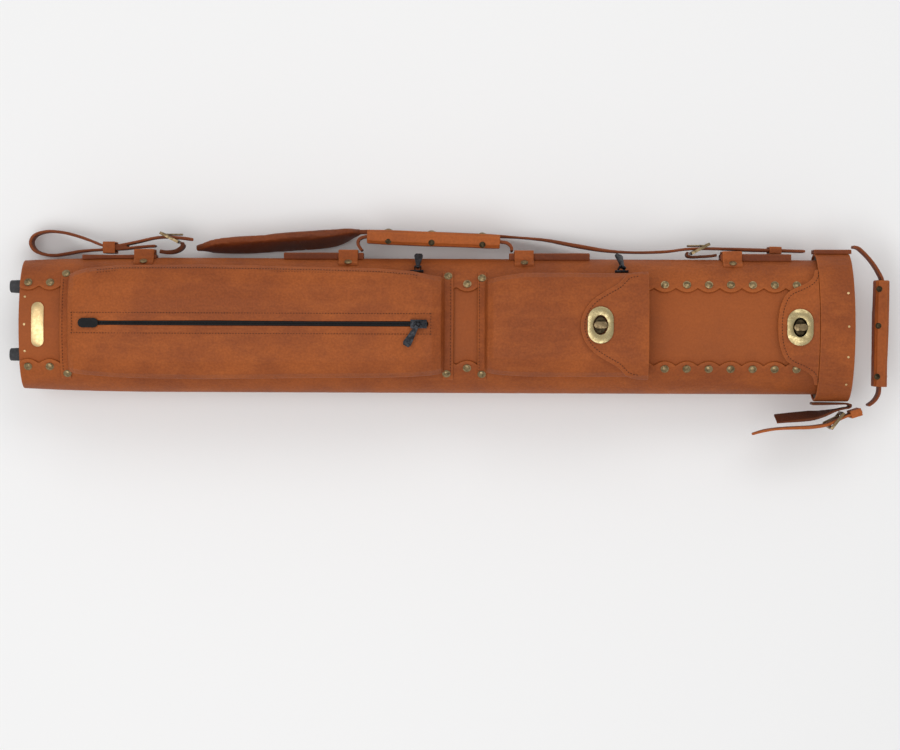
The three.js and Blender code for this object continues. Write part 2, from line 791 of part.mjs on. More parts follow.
makeTube();
makeFeet();
makeNamePlate();
makeLargePocket();
makeSmallPocket();
makePocketFlap();
makeLid();
makeTongue();
const onTongue = cut(tongueOval(-gap - 2), tongueOval(-gap));
const onFlap = cut(pocketSolid(smallPocket, -5.5), pocketSolid(smallPocket, -3.5));
makeLock("lid", [lidLockX, 0], 90, 98.9, { size: [22, 30], thickness: 1.4 }, onTongue);
makeLock("flap", [flapLockX, flapLockY], 117.1, 120.6, { size: [13, 18.5], thickness: 1 }, onFlap);
makeZipPulls();
makeAnchors();
makeCarryHandle();
makeShoulderStrap();
makeEndHandle();

// The origin is the middle of the underside of the whole case.
const bounds = new THREE.Box3().setFromObject(cueCase);
const centre = bounds.getCenter(new THREE.Vector3());
cueCase.position.set(-centre.x, -centre.y, -bounds.min.z);

export default cueCase;
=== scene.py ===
import json
import math

import bmesh
import bpy
import numpy as np
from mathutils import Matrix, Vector


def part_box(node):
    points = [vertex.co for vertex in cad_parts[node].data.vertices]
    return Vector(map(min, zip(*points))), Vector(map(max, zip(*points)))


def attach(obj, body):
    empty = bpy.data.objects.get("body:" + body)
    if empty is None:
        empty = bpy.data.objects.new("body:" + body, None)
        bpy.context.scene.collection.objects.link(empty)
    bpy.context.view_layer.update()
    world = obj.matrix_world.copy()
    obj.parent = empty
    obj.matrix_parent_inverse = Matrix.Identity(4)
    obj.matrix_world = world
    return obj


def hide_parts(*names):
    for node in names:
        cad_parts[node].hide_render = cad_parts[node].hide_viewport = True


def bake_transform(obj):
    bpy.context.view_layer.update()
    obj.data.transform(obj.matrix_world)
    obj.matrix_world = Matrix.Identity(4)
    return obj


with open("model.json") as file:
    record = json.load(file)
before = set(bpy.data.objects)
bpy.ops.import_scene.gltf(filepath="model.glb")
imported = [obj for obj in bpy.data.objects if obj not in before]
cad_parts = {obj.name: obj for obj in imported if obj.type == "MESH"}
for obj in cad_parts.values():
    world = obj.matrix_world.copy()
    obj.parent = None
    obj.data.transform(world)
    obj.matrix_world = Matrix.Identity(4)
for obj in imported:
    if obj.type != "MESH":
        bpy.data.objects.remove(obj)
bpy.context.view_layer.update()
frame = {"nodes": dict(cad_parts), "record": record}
nodes = frame["nodes"]
bodyOf = {n: b for b, members in frame["record"]["behaviour"]["bodies"].items() for n in members}

# The case is laid out in millimetres from a point on its axis, 50 mm above its back
shellLow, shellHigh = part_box("hard_shell")
middle = (shellLow + shellHigh) / 2
shift = Vector((shellLow.x + 0.438, middle.y, middle.z - 0.05))


def at(x, y, z):
    return Vector((x, y, z)) / 1000 + shift


print("frame loaded")

def newGroup(name, inputs, outputs):
    group = bpy.data.node_groups.new(name, "ShaderNodeTree")
    for title, kind, value in inputs:
        socket = group.interface.new_socket(name=title, in_out="INPUT", socket_type=kind)
        socket.default_value = value
    for title, kind in outputs:
        group.interface.new_socket(name=title, in_out="OUTPUT", socket_type=kind)
    return group, group.nodes.new("NodeGroupInput"), group.nodes.new("NodeGroupOutput")


def noise(tree, coords, scale, detail, rough=0.55):
    node = tree.nodes.new("ShaderNodeTexNoise")
    node.inputs["Detail"].default_value = detail
    node.inputs["Roughness"].default_value = rough
    if isinstance(scale, (int, float)):
        node.inputs["Scale"].default_value = scale
    else:
        tree.links.new(scale, node.inputs["Scale"])
    tree.links.new(coords, node.inputs["Vector"])
    return node.outputs["Fac"]


def spread(tree, value, low, high, toLow=0.0, toHigh=1.0):
    node = tree.nodes.new("ShaderNodeMapRange")
    node.interpolation_type = "SMOOTHSTEP"
    for title, number in (("From Min", low), ("From Max", high), ("To Min", toLow), ("To Max", toHigh)):
        node.inputs[title].default_value = number
    tree.links.new(value, node.inputs["Value"])
    return node.outputs["Result"]


def mathNode(tree, kind, a, b):
    node = tree.nodes.new("ShaderNodeMath")
    node.operation = kind
    for i, value in enumerate((a, b)):
        if isinstance(value, (int, float)):
            node.inputs[i].default_value = value
        else:
            tree.links.new(value, node.inputs[i])
    return node.outputs[0]


def blendColours(tree, factor, a, b, kind="MIX"):
    node = tree.nodes.new("ShaderNodeMix")
    node.data_type = "RGBA"
    node.blend_type = kind
    for title, value in (("Factor", factor), ("A", a), ("B", b)):
        socket = [s for s in node.inputs if s.name == title and (title == "Factor") == (s.type == "VALUE")
                  and (title == "Factor" or s.type == "RGBA")][0]
        if isinstance(value, (int, float)):
            socket.default_value = value
        elif isinstance(value, tuple):
            socket.default_value = value
        else:
            tree.links.new(value, socket)
    return [s for s in node.outputs if s.type == "RGBA"][0]


def objectCoords(tree, stretch=(1, 1, 1)):
    coords = tree.nodes.new("ShaderNodeTexCoord").outputs["Object"]
    if stretch == (1, 1, 1):
        return coords
    mapping = tree.nodes.new("ShaderNodeMapping")
    mapping.inputs["Scale"].default_value = stretch
    tree.links.new(coords, mapping.inputs["Vector"])
    return mapping.outputs["Vector"]


# Waxed leather: cloudy colour, streaks along the hide, pale where it is stretched or rubbed and on convex bends as a
# painted highlight, fine pores
def hideGroup():
    group, given, result = newGroup(
        "waxedHide",
        [
            ("Tan", "NodeSocketColor", (0.376, 0.098, 0.03, 1)),
            ("RubbedAndHighlight", "NodeSocketColor", (0.5, 0.155, 0.05, 1)),
            ("Shade", "NodeSocketColor", (0.2, 0.045, 0.014, 1)),
            ("Cloud Scale", "NodeSocketFloat", 14.0),
            ("Grain Scale", "NodeSocketFloat", 900.0),
            ("RubAndHighlight", "NodeSocketFloat", 0.6),
        ],
        [("Color", "NodeSocketColor"), ("Roughness", "NodeSocketFloat"), ("Height", "NodeSocketFloat")],
    )
    coords = objectCoords(group)
    streaky = objectCoords(group, (0.35, 1.4, 1.4))
    clouds = noise(group, coords, given.outputs["Cloud Scale"], 5, 0.62)
    streaks = noise(group, streaky, 75, 6, 0.7)
    fine = noise(group, coords, 420, 4, 0.6)
    grain = noise(group, coords, given.outputs["Grain Scale"], 5, 0.7)
    pores = group.nodes.new("ShaderNodeTexVoronoi")
    pores.feature = "DISTANCE_TO_EDGE"
    pores.inputs["Scale"].default_value = 620
    group.links.new(coords, pores.inputs["Vector"])
    darker = spread(group, clouds, 0.36, 0.62, 0.55, 0)
    colour = blendColours(group, darker, given.outputs["Tan"], given.outputs["Shade"])
    paler = mathNode(group, "MULTIPLY", spread(group, streaks, 0.45, 0.75, 0, 0.42), given.outputs["RubAndHighlight"])
    colour = blendColours(group, paler, colour, given.outputs["RubbedAndHighlight"])
    speckle = spread(group, fine, 0.3, 0.7, 0.88, 1.1)
    colour = blendColours(group, 1.0, colour, speckle, "MULTIPLY")
    # painted highlight, in part: convex bends with high pointiness are mixed toward the rubbed colour, pull-up wear
    # and painted highlight together
    edges = group.nodes.new("ShaderNodeNewGeometry").outputs["Pointiness"]
    bendPaleAndHighlight = mathNode(group, "MULTIPLY", spread(group, edges, 0.505, 0.56, 0, 0.75), given.outputs["RubAndHighlight"])
    colour = blendColours(group, bendPaleAndHighlight, colour, given.outputs["RubbedAndHighlight"])
    group.links.new(colour, result.inputs["Color"])
    cloudy = spread(group, clouds, 0.3, 0.7, 0.5, 0.62)
    rough = mathNode(group, "ADD", cloudy, spread(group, grain, 0.3, 0.7, -0.04, 0.05))
    group.links.new(rough, result.inputs["Roughness"])
    lumps = mathNode(group, "MULTIPLY", grain, 0.5)
    creases = spread(group, pores.outputs["Distance"], 0.0, 0.12, 0.0, 0.5)
    relief = mathNode(group, "ADD", lumps, creases)
    height = mathNode(group, "ADD", relief, mathNode(group, "MULTIPLY", fine, 0.7))
    group.links.new(height, result.inputs["Height"])
    return group


# Metal: a patina that darkens parts of it, and small scratches
def patinaGroup():
    group, given, result = newGroup(
        "patina",
        [
            ("Metal", "NodeSocketColor", (0.6, 0.48, 0.25, 1)),
            ("Tarnish", "NodeSocketColor", (0.2, 0.14, 0.07, 1)),
            ("Amount", "NodeSocketFloat", 0.5),
            ("Polish", "NodeSocketFloat", 0.28),
        ],
        [("Color", "NodeSocketColor"), ("Roughness", "NodeSocketFloat"), ("Height", "NodeSocketFloat")],
    )
    coords = objectCoords(group)
    spots = noise(group, coords, 260, 5, 0.65)
    scratches = noise(group, objectCoords(group, (1, 14, 14)), 300, 3, 0.5)
    mask = mathNode(group, "MULTIPLY", spread(group, spots, 0.38, 0.66), given.outputs["Amount"])
    colour = blendColours(group, mask, given.outputs["Metal"], given.outputs["Tarnish"])
    group.links.new(colour, result.inputs["Color"])
    rough = mathNode(group, "ADD", given.outputs["Polish"], mathNode(group, "MULTIPLY", mask, 0.3))
    group.links.new(rough, result.inputs["Roughness"])
    group.links.new(mathNode(group, "ADD", spots, scratches), result.inputs["Height"])
    return group


hide = hideGroup()
patina = patinaGroup()


def material(name, group, values, bump, metallic=0.0, specular=0.5):
    made = bpy.data.materials.new(name)
    made.use_nodes = True
    tree = made.node_tree
    shader = tree.nodes["Principled BSDF"]
    effect = tree.nodes.new("ShaderNodeGroup")
    effect.node_tree = group
    for title, value in values.items():
        effect.inputs[title].default_value = value
    tree.links.new(effect.outputs["Color"], shader.inputs["Base Color"])
    tree.links.new(effect.outputs["Roughness"], shader.inputs["Roughness"])
    relief = tree.nodes.new("ShaderNodeBump")
    relief.inputs["Strength"].default_value = bump[0]
    relief.inputs["Distance"].default_value = bump[1]
    tree.links.new(effect.outputs["Height"], relief.inputs["Height"])
    tree.links.new(relief.outputs["Normal"], shader.inputs["Normal"])
    shader.inputs["Metallic"].default_value = metallic
    shader.inputs["Specular IOR Level"].default_value = specular
    return made


# each look's rubbed colour is also the painted highlight on convex bends
leatherLooks = {
    "tan": {"Tan": (0.34, 0.085, 0.018, 1), "RubbedAndHighlight": (0.48, 0.135, 0.03, 1), "Shade": (0.19, 0.042, 0.011, 1)},
    "bright": {"Tan": (0.38, 0.096, 0.02, 1), "RubbedAndHighlight": (0.52, 0.15, 0.034, 1), "Shade": (0.22, 0.05, 0.013, 1)},
    "strap": {"Tan": (0.2, 0.048, 0.014, 1), "RubbedAndHighlight": (0.33, 0.088, 0.024, 1), "Shade": (0.1, 0.024, 0.009, 1)},
    "darkBrown": {"Tan": (0.13, 0.036, 0.014, 1), "RubbedAndHighlight": (0.22, 0.065, 0.024, 1), "Shade": (0.06, 0.018, 0.008, 1)},
    "cover": {"Tan": (0.29, 0.07, 0.016, 1), "RubbedAndHighlight": (0.4, 0.105, 0.024, 1), "Shade": (0.17, 0.038, 0.01, 1)},
}
tanLeather = material("tanLeather", hide, leatherLooks["tan"], (0.35, 0.0006), 0.0, 0.2)
brightLeather = material("brightLeather", hide, leatherLooks["bright"], (0.35, 0.0006), 0.0, 0.2)
strapLeather = material("strapLeather", hide, leatherLooks["strap"], (0.4, 0.0005), 0.0, 0.2)
# darker brown leather with finer grain and stronger bump, for the billet and the strap loops
darkBrownGrain = {**leatherLooks["darkBrown"], "Grain Scale": 1500.0}
darkBrownLeather = material("darkBrownLeather", hide, darkBrownGrain, (0.7, 0.0008), 0.0, 0.15)
coverLeather = material("coverLeather", hide, leatherLooks["cover"], (0.35, 0.0006), 0.0, 0.2)
metalLooks = {
    "lock": {"Metal": (0.5, 0.41, 0.22, 1), "Tarnish": (0.25, 0.18, 0.08, 1), "Amount": 0.6, "Polish": 0.24},
    "rivet": {"Metal": (0.34, 0.25, 0.13, 1), "Tarnish": (0.11, 0.075, 0.038, 1), "Amount": 0.8, "Polish": 0.34},
    "buckle": {"Metal": (0.3, 0.22, 0.12, 1), "Tarnish": (0.09, 0.06, 0.03, 1), "Amount": 0.8, "Polish": 0.3},
    "plate": {"Metal": (0.72, 0.53, 0.27, 1), "Tarnish": (0.5, 0.34, 0.15, 1), "Amount": 0.4, "Polish": 0.3},
    "pull": {"Metal": (0.035, 0.037, 0.042, 1), "Tarnish": (0.012, 0.012, 0.014, 1), "Amount": 0.7, "Polish": 0.34},
    # painted shade: near-black brass standing for the shade in the lock recesses and on the grips' inner studs
    "recessShade": {"Metal": (0.07, 0.052, 0.028, 1), "Tarnish": (0.02, 0.014, 0.008, 1), "Amount": 0.8, "Polish": 0.45},
}
lockBrass = material("lockBrass", patina, metalLooks["lock"], (0.08, 0.0003), 1.0)
rivetBrass = material("rivetBrass", patina, metalLooks["rivet"], (0.2, 0.0003), 1.0)
buckleBrass = material("buckleBrass", patina, metalLooks["buckle"], (0.15, 0.0003), 1.0)
plateBrass = material("plateBrass", patina, metalLooks["plate"], (0.1, 0.0002), 1.0)
recessShadeBrass = material("recessShadeBrass", patina, metalLooks["recessShade"], (0.15, 0.0003), 1.0)
pullMetal = material("pullMetal", patina, metalLooks["pull"], (0.1, 0.0003), 1.0)
plainLooks = {
    "zip": {"Metal": (0.005, 0.005, 0.006, 1), "Tarnish": (0.011, 0.011, 0.012, 1), "Amount": 0.6, "Polish": 0.45},
    "rubber": {"Metal": (0.04, 0.04, 0.043, 1), "Tarnish": (0.075, 0.075, 0.08, 1), "Amount": 0.6, "Polish": 0.6},
    "foam": {"Metal": (0.012, 0.012, 0.013, 1), "Tarnish": (0.03, 0.03, 0.03, 1), "Amount": 0.8, "Polish": 0.7},
    "board": {"Metal": (0.07, 0.045, 0.03, 1), "Tarnish": (0.12, 0.08, 0.05, 1), "Amount": 0.7, "Polish": 0.6},
    "thread": {"Metal": (0.055, 0.017, 0.008, 1), "Tarnish": (0.11, 0.036, 0.016, 1), "Amount": 0.7, "Polish": 0.55},
}
zipBlack = material("zipBlack", patina, plainLooks["zip"], (0.2, 0.0003), 0.0, 0.15)
footRubber = material("footRubber", patina, plainLooks["rubber"], (0.3, 0.0004), 0.0, 0.3)
insertFoam = material("insertFoam", patina, plainLooks["foam"], (0.6, 0.0008), 0.0, 0.15)
shellBoard = material("shellBoard", patina, plainLooks["board"], (0.4, 0.0005))
thread = material("thread", patina, plainLooks["thread"], (0.5, 0.0003), 0.0, 0.2)
print("materials made")

def meshObject(name, points, faces):
    mesh = bpy.data.meshes.new(name)
    mesh.from_pydata([tuple(p) for p in points], [], faces)
    mesh.validate()
    made = bpy.data.objects.new(name, mesh)
    bpy.context.scene.collection.objects.link(made)
    return made


def faceOut(made):
    work = bmesh.new()
    work.from_mesh(made.data)
    bmesh.ops.remove_doubles(work, verts=work.verts, dist=1e-6)
    bmesh.ops.recalc_face_normals(work, faces=work.faces)
    work.to_mesh(made.data)
    work.free()


def settle(made):
    graph = bpy.context.evaluated_depsgraph_get()
    final = bpy.data.meshes.new_from_object(made.evaluated_get(graph), depsgraph=graph)
    made.modifiers.clear()
    made.data = final
    return made


def smooth(made, angle=50):
    made.data.polygons.foreach_set("use_smooth", [True] * len(made.data.polygons))
    work = bmesh.new()
    work.from_mesh(made.data)
    for edge in work.edges:
        edge.smooth = len(edge.link_faces) == 2 and edge.calc_face_angle(0) < math.radians(angle)
    work.to_mesh(made.data)
    work.free()
    return made


def dress(made, look, body, replaced=()):
    made.data.materials.clear()
    made.data.materials.append(look)
    if isinstance(body, tuple):
        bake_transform(made)
    else:
        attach(made, body)
    if replaced:
        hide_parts(*replaced)
    return made


# A soft leather piece from the frame's own solid: even faces, rounded edges and a slight unevenness
def softCopy(node, name, look, voxel, rounds=6, wave=0.0, thin=1.0):
    made = bpy.data.objects.new(name, nodes[node].data.copy())
    bpy.context.scene.collection.objects.link(made)
    faceOut(made)
    remesh = made.modifiers.new("even", "REMESH")
    remesh.mode = "VOXEL"
    remesh.voxel_size = voxel
    ease = made.modifiers.new("ease", "SMOOTH")
    ease.factor = 0.5
    ease.iterations = rounds
    if thin < 1:
        fewer = made.modifiers.new("fewer", "DECIMATE")
        fewer.ratio = thin
    settle(made)
    made.data.polygons.foreach_set("use_smooth", [True] * len(made.data.polygons))
    if wave:
        count = len(made.data.vertices)
        places = np.zeros(count * 3)
        made.data.vertices.foreach_get("co", places)
        places = places.reshape(-1, 3)
        normals = np.zeros(count * 3)
        made.data.vertices.foreach_get("normal", normals)
        normals = normals.reshape(-1, 3)
        ripple = np.zeros(count)
        for k, (fx, fy, fz, phase) in enumerate([(31, 47, 39, 0.4), (67, 53, 71, 1.9), (113, 97, 131, 3.1)]):
            ripple += np.sin(places[:, 0] * fx + phase) * np.cos(places[:, 1] * fy - phase) / (k + 1)
            ripple += 0.5 * np.sin(places[:, 2] * fz + places[:, 0] * fy) / (k + 1)
        places += normals * (ripple * wave)[:, None]
        made.data.vertices.foreach_set("co", places.ravel())
        made.data.update()
    return dress(made, look, bends.get(node, bodyOf[node]), (node,))


# The tongue is given a tuple in place of its body, so dress bakes its transform and attaches it to no body
bends = {"lid_tongue": ("lid", "tongue", tuple(at(402.6, 0, 100)), tuple(at(396, 0, 100)))}

tube = {
    "halfWidth": 71.5,
    "halfDepth": 42.5,
    "thickness": 2.6,
    "pitch": 23.1,
    "firstLobe": -429,
    "cuspY": 41.4,
    "lobeRise": 4.7,
    "baseEnd": -438,
    "mouthEnd": 420,
}
taper = [(-438, 0.953), (-400, 0.975), (-360, 0.99), (-310, 1.0), (500, 1.0)]


def scaleAt(x):
    return float(np.interp(x, [t[0] for t in taper], [t[1] for t in taper]))


def ovalPoint(x, angle):
    s = scaleAt(x)
    a = tube["halfWidth"] * s
    b = tube["halfDepth"] * s
    return (x, a * math.sin(angle), 50 + b * math.cos(angle))


def scallopEdge(x):
    s = 2 * ((x - tube["firstLobe"]) / tube["pitch"] + 0.5) % 2 - 1
    return tube["cuspY"] - tube["lobeRise"] * (1 - s * s)


def makeWrap():
    steps = 12
    count = int((tube["mouthEnd"] - tube["baseEnd"]) / (tube["pitch"] / steps))
    length = tube["mouthEnd"] - tube["baseEnd"]
    stations = [tube["baseEnd"] + length * i / count for i in range(count + 1)]
    around = 72
    points = []
    for x in stations:
        edge = scallopEdge(x)
        start = math.asin(min(0.99, edge / (tube["halfWidth"] * scaleAt(x))))
        for j in range(around + 1):
            t = j / around
            angle = start + (2 * math.pi - 2 * start) * t
            points.append(at(*ovalPoint(x, angle)))
    faces = []
    row = around + 1
    for i in range(len(stations) - 1):
        for j in range(around):
            faces.append((i * row + j, i * row + j + 1, (i + 1) * row + j + 1, (i + 1) * row + j))
    made = meshObject("outerWrap", points, faces)
    work = bmesh.new()
    work.from_mesh(made.data)
    bmesh.ops.recalc_face_normals(work, faces=work.faces)
    centre = at(0, 0, 50)
    sample = work.faces[:][len(work.faces) // 2]
    away = sample.calc_center_median() - centre
    away.x = 0
    if sample.normal.dot(away) < 0:
        bmesh.ops.reverse_faces(work, faces=work.faces)
    work.to_mesh(made.data)
    work.free()
    thick = made.modifiers.new("thickness", "SOLIDIFY")
    thick.thickness = tube["thickness"] / 1000
    thick.offset = -1
    soften = made.modifiers.new("edge", "BEVEL")
    soften.width = 0.0006
    soften.segments = 2
    soften.limit_method = "ANGLE"
    soften.angle_limit = math.radians(50)
    settle(made)
    smooth(made, 40)
    return dress(made, tanLeather, "case", ("wrap_cover",))


makeWrap()
print("tube made")

# node: piece name, leather, voxel in metres, smoothing rounds, unevenness
softPieces = {
    "large_pocket": ("largePocket", tanLeather, 0.0009, 5, 0.0003),
    "small_pocket": ("smallPocket", tanLeather, 0.0009, 5, 0.00025),
    "pocket_flap": ("pocketFlap", tanLeather, 0.0007, 4, 0.0001),
    "lid_tongue": ("lidTongue", tanLeather, 0.0008, 5, 0.0),
    "lid_cap": ("lidCap", tanLeather, 0.0009, 4, 0.0),
    "handle_grip": ("handleGrip", brightLeather, 0.001, 6, 0.0003),
    "handle_strap": ("handleStrap", strapLeather, 0.0007, 4, 0.00015),
    "end_grip": ("endGrip", tanLeather, 0.001, 6, 0.0003),
    "end_strap": ("endStrap", strapLeather, 0.0007, 4, 0.00015),
    "end_tail_strap": ("endTailStrap", brightLeather, 0.0007, 4, 0.0003),
    "end_keeper": ("endKeeper", brightLeather, 0.0006, 4, 0.0),
    "end_billet": ("endBillet", darkBrownLeather, 0.0007, 3, 0.0004),
    "end_anchor_top": ("endAnchorTop", strapLeather, 0.0007, 4, 0.0),
    "strap_left": ("strapLeft", strapLeather, 0.0008, 4, 0.0003),
    "strap_right": ("strapRight", strapLeather, 0.0008, 4, 0.0003),
    "shoulder_pad": ("shoulderPad", strapLeather, 0.0012, 10, 0.0005),
    "strap_loop_left": ("strapLoopLeft", darkBrownLeather, 0.0007, 4, 0.0002),
    "strap_loop_right": ("strapLoopRight", darkBrownLeather, 0.0007, 4, 0.0002),
    "keeper_left": ("keeperLeft", tanLeather, 0.0006, 4, 0.0),
    "keeper_right": ("keeperRight", tanLeather, 0.0006, 4, 0.0),
    "saddle_1": ("saddleOne", tanLeather, 0.0008, 6, 0.0),
    "saddle_2": ("saddleTwo", tanLeather, 0.0008, 6, 0.0),
    "saddle_3": ("saddleThree", tanLeather, 0.0008, 6, 0.0),
    "saddle_4": ("saddleFour", tanLeather, 0.0008, 6, 0.0),
    "anchor_strip_1": ("anchorStripOne", strapLeather, 0.0008, 4, 0.0002),
    "anchor_strip_2": ("anchorStripTwo", strapLeather, 0.0008, 4, 0.0002),
    "anchor_strip_3": ("anchorStripThree", strapLeather, 0.0008, 4, 0.0002),
    "anchor_strip_4": ("anchorStripFour", strapLeather, 0.0008, 4, 0.0002),
}
soft = {}
for node, (name, look, voxel, rounds, wave) in softPieces.items():
    thin = {"large_pocket": 0.26, "small_pocket": 0.34, "lid_cap": 0.4}.get(node, 0.7)
    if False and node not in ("large_pocket", "small_pocket"):
        voxel *= 1.3
    soft[node] = softCopy(node, name, look, voxel, rounds, wave, thin)


# The pad swells a little under its own filling; no point moves further than the cap
def swell(made, pressure, cap):
    count = len(made.data.vertices)
    before = np.zeros(count * 3)
    made.data.vertices.foreach_get("co", before)
    cloth = made.modifiers.new("filling", "CLOTH")
    cloth.settings.use_pressure = True
    cloth.settings.uniform_pressure_force = pressure
    cloth.settings.effector_weights.gravity = 0
    cloth.point_cache.frame_start = 1
    cloth.point_cache.frame_end = 20
    for step in range(1, 21):
        bpy.context.scene.frame_set(step)
    settle(made)
    after = np.zeros(count * 3)
    made.data.vertices.foreach_get("co", after)
    move = (after - before).reshape(-1, 3)
    length = np.maximum(np.linalg.norm(move, axis=1), 1e-9)
    move *= np.minimum(1, cap / length)[:, None]
    made.data.vertices.foreach_set("co", (before.reshape(-1, 3) + move).ravel())
    made.data.update()
    bpy.context.scene.frame_set(1)


padFilling = {"pressure": 4, "cap": 0.0022}
swell(soft["shoulder_pad"], padFilling["pressure"], padFilling["cap"])
padFaces = soft["shoulder_pad"].data.polygons
padFaces.foreach_set("use_smooth", [True] * len(padFaces))


# A short strap along a route, standing on edge like the shoulder strap
def ribbon(name, body, route, width, thickness, look):
    points = []
    for i, place in enumerate(route):
        before = Vector(route[max(0, i - 1)])
        after = Vector(route[min(len(route) - 1, i + 1)])
        along = (after - before).normalized()
        side = Vector((-along.y, along.x, 0)).normalized() * thickness / 2
        for offset, rise in ((side, 1), (-side, 1), (-side, -1), (side, -1)):
            points.append(at(*(Vector(place) + offset + Vector((0, 0, rise * width / 2)))))
    faces = [(0, 1, 2, 3), tuple(len(points) - 4 + k for k in (3, 2, 1, 0))]
    for i in range(len(route) - 1):
        for k in range(4):
            n = (k + 1) % 4
            faces.append((4 * i + k, 4 * i + n, 4 * i + 4 + n, 4 * i + 4 + k))
    made = meshObject(name, points, faces)
    faceOut(made)
    rounded = made.modifiers.new("edge", "BEVEL")
    rounded.width = 0.0008
    rounded.segments = 3
    rounded.limit_method = "ANGLE"
    rounded.angle_limit = math.radians(40)
    settle(made)
    smooth(made, 45)
    return dress(made, look, body, ())


padTab = {"width": 21, "thickness": 4.2}
tabRoute = [(-58, 101.0, 13.4), (-72, 101.2, 13.7), (-81, 101.1, 14.1),
            (-88, 99.6, 15.6), (-95, 97.6, 18), (-103, 95.6, 20)]
ribbon("padTab", "shoulder_strap", tabRoute, padTab["width"], padTab["thickness"],
       strapLeather)
print("soft pieces made")

# Parts that stay as they are, and their finishes
carried = {
    "base_cover": coverLeather,
    "hard_shell": shellBoard,
    "base_plug": shellBoard,
    "lid_liner": shellBoard,
    "cue_insert": insertFoam,
    # the lock bases take the brass with painted shade
    "lid_lock_base": recessShadeBrass,
    "flap_lock_base": recessShadeBrass,
    "lid_lock_knob": buckleBrass,
    "flap_lock_knob": buckleBrass,
    "name_plate": plateBrass,
    "face_zip": zipBlack,
    "large_top_zip": zipBlack,
    "small_top_zip": zipBlack,
}
for node, made in nodes.items():
    if node in soft or node == "wrap_cover":
        continue
    look = carried.get(node)
    if look is None:
        look = lockBrass if "lock" in node else None
        look = look or (buckleBrass if "buckle" in node else None)
        look = look or (footRubber if "foot" in node else pullMetal)
    made.data.materials.clear()
    made.data.materials.append(look)
    made.data.polygons.foreach_set("use_smooth", [True] * len(made.data.polygons))
    weld = made.modifiers.new("weld", "WELD")
    weld.merge_threshold = 1e-6
    if look in (lockBrass, buckleBrass, recessShadeBrass, plateBrass, pullMetal, footRubber):
        soften = made.modifiers.new("softEdge", "BEVEL")
        soften.width = 0.00035
        soften.segments = 2
        soften.limit_method = "ANGLE"
        soften.angle_limit = math.radians(45)
    split = made.modifiers.new("crease", "EDGE_SPLIT")
    split.split_angle = math.radians(45)
print("carried parts finished")

def geometryTree(name, inputs):
    tree = bpy.data.node_groups.new(name, "GeometryNodeTree")
    tree.interface.new_socket(name="Geometry", in_out="INPUT", socket_type="NodeSocketGeometry")
    for title, kind, value in inputs:
        socket = tree.interface.new_socket(name=title, in_out="INPUT", socket_type=kind)
        if value is not None:
            socket.default_value = value
    tree.interface.new_socket(name="Geometry", in_out="OUTPUT", socket_type="NodeSocketGeometry")
    return tree, tree.nodes.new("NodeGroupInput"), tree.nodes.new("NodeGroupOutput")


# Domed heads on every point, turned to the direction stored with it
def headTree():
    tree, given, result = geometryTree(
        "studHeads",
        [
            ("Width", "NodeSocketFloat", 0.0075),
            ("Rise", "NodeSocketFloat", 0.0016),
            ("Finish", "NodeSocketMaterial", None),
        ],
    )
    link = tree.links.new
    dome = tree.nodes.new("GeometryNodeMeshUVSphere")
    dome.inputs["Segments"].default_value = 20
    dome.inputs["Rings"].default_value = 12
    dome.inputs["Radius"].default_value = 0.5
    rim = tree.nodes.new("GeometryNodeMeshCylinder")
    rim.inputs["Vertices"].default_value = 20
    rim.inputs["Radius"].default_value = 0.6
    rim.inputs["Depth"].default_value = 0.35
    both = tree.nodes.new("GeometryNodeJoinGeometry")
    link(dome.outputs["Mesh"], both.inputs["Geometry"])
    link(rim.outputs["Mesh"], both.inputs["Geometry"])
    size = tree.nodes.new("ShaderNodeCombineXYZ")
    link(given.outputs["Width"], size.inputs["X"])
    link(given.outputs["Width"], size.inputs["Y"])
    double = tree.nodes.new("ShaderNodeMath")
    double.operation = "MULTIPLY"
    double.inputs[1].default_value = 2
    link(given.outputs["Rise"], double.inputs[0])
    link(double.outputs[0], size.inputs["Z"])
    facing = tree.nodes.new("GeometryNodeInputNamedAttribute")
    facing.data_type = "FLOAT_VECTOR"
    facing.inputs["Name"].default_value = "facing"
    turn = tree.nodes.new("FunctionNodeAlignRotationToVector")
    turn.axis = "Z"
    link(facing.outputs["Attribute"], turn.inputs["Vector"])
    toPoints = tree.nodes.new("GeometryNodeMeshToPoints")
    link(given.outputs["Geometry"], toPoints.inputs["Mesh"])
    place = tree.nodes.new("GeometryNodeInstanceOnPoints")
    link(toPoints.outputs["Points"], place.inputs["Points"])
    link(both.outputs["Geometry"], place.inputs["Instance"])
    link(turn.outputs["Rotation"], place.inputs["Rotation"])
    link(size.outputs["Vector"], place.inputs["Scale"])
    real = tree.nodes.new("GeometryNodeRealizeInstances")
    link(place.outputs["Instances"], real.inputs["Geometry"])
    paint = tree.nodes.new("GeometryNodeSetMaterial")
    link(real.outputs["Geometry"], paint.inputs["Geometry"])
    link(given.outputs["Finish"], paint.inputs["Material"])
    link(paint.outputs["Geometry"], result.inputs["Geometry"])
    return tree


